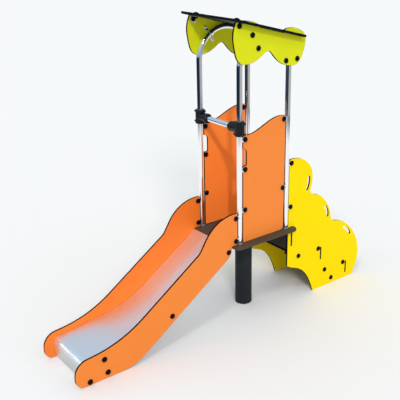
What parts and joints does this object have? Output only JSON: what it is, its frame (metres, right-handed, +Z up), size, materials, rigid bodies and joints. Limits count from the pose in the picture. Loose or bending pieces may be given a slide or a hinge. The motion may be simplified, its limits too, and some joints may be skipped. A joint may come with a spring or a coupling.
{
  "type": "playground slide tower",
  "caption": "Small play tower on a central column: a straight steel slide, a deck with stairs and guard panels, two tube hoops and a pitched roof.",
  "frame": {"origin": "centre of the column's foot, at ground level", "axes": "+Z up; the slide runs down towards -Y and the stairs climb from +Y; +X is the side to the right of someone who stands at the slide's exit and looks up it"},
  "size_m": [0.66, 2.8396, 2.4025],
  "materials": {
    "orange_panel": "compact laminate sheet with a satin orange face and a near-black core at its edges",
    "yellow_panel": "compact laminate sheet with a satin yellow face and a near-black core at its edges",
    "lime_panel": "compact laminate sheet with a satin lime face and a near-black core at its edges",
    "brown_board": "dark brown non-slip laminate board",
    "roof_sheet": "anthracite laminate sheet, satin",
    "column_coating": "anthracite powder coat on a fluted tube",
    "polished_steel": "polished stainless tube",
    "brushed_steel": "brushed stainless sheet",
    "zinc_steel": "zinc-plated steel, dull",
    "black_clamp": "black coated casting",
    "black_cap": "black moulded cap"
  },
  "bodies": {
    "root": {"chute": "brushed_steel", "column": "column_coating", "cross_rail": "polished_steel", "deck_board": "brown_board", "deck_frame": "zinc_steel", "left_canopy_panel": "lime_panel", "left_front_post_collar": "polished_steel", "left_front_saddle_clamp": "zinc_steel", "left_guard_front_bolt_1": "black_cap", "left_guard_front_bolt_2": "black_cap", "left_guard_front_bolt_3": "black_cap", "left_guard_panel": "orange_panel", "left_guard_rear_bolt_1": "black_cap", "left_guard_rear_bolt_2": "black_cap", "left_hoop": "polished_steel", "left_lower_tread_cleat": "black_clamp", "left_rail_clamp_back": "black_clamp", "left_rail_clamp_front": "black_clamp", "left_rear_post_collar": "polished_steel", "left_rear_saddle_clamp": "zinc_steel", "left_roof_bolt": "black_cap", "left_roof_bracket": "zinc_steel", "left_slide_anchor": "zinc_steel", "left_slide_panel": "orange_panel", "left_slide_post_bolt_1": "black_cap", "left_slide_post_bolt_2": "black_cap", "left_stair_anchor": "zinc_steel", "left_stair_panel": "yellow_panel", "left_upper_tread_cleat": "black_clamp", "lower_riser": "brown_board", "lower_tread": "brown_board", "middle_riser": "brown_board", "right_canopy_panel": "lime_panel", "right_front_post_collar": "polished_steel", "right_front_saddle_clamp": "zinc_steel", "right_guard_front_bolt_1": "black_cap", "right_guard_front_bolt_2": "black_cap", "right_guard_front_bolt_3": "black_cap", "right_guard_panel": "orange_panel", "right_guard_rear_bolt_1": "black_cap", "right_guard_rear_bolt_2": "black_cap", "right_hoop": "polished_steel", "right_lower_tread_cleat": "black_clamp", "right_rail_clamp_back": "black_clamp", "right_rail_clamp_front": "black_clamp", "right_rear_post_collar": "polished_steel", "right_rear_saddle_clamp": "zinc_steel", "right_roof_bolt": "black_cap", "right_roof_bracket": "zinc_steel", "right_slide_anchor": "zinc_steel", "right_slide_panel": "orange_panel", "right_slide_post_bolt_1": "black_cap", "right_slide_post_bolt_2": "black_cap", "right_stair_anchor": "zinc_steel", "right_stair_panel": "yellow_panel", "right_upper_tread_cleat": "black_clamp", "roof_sheet": "roof_sheet", "upper_riser": "brown_board", "upper_tread": "brown_board"}
  },
  "joints": []
}
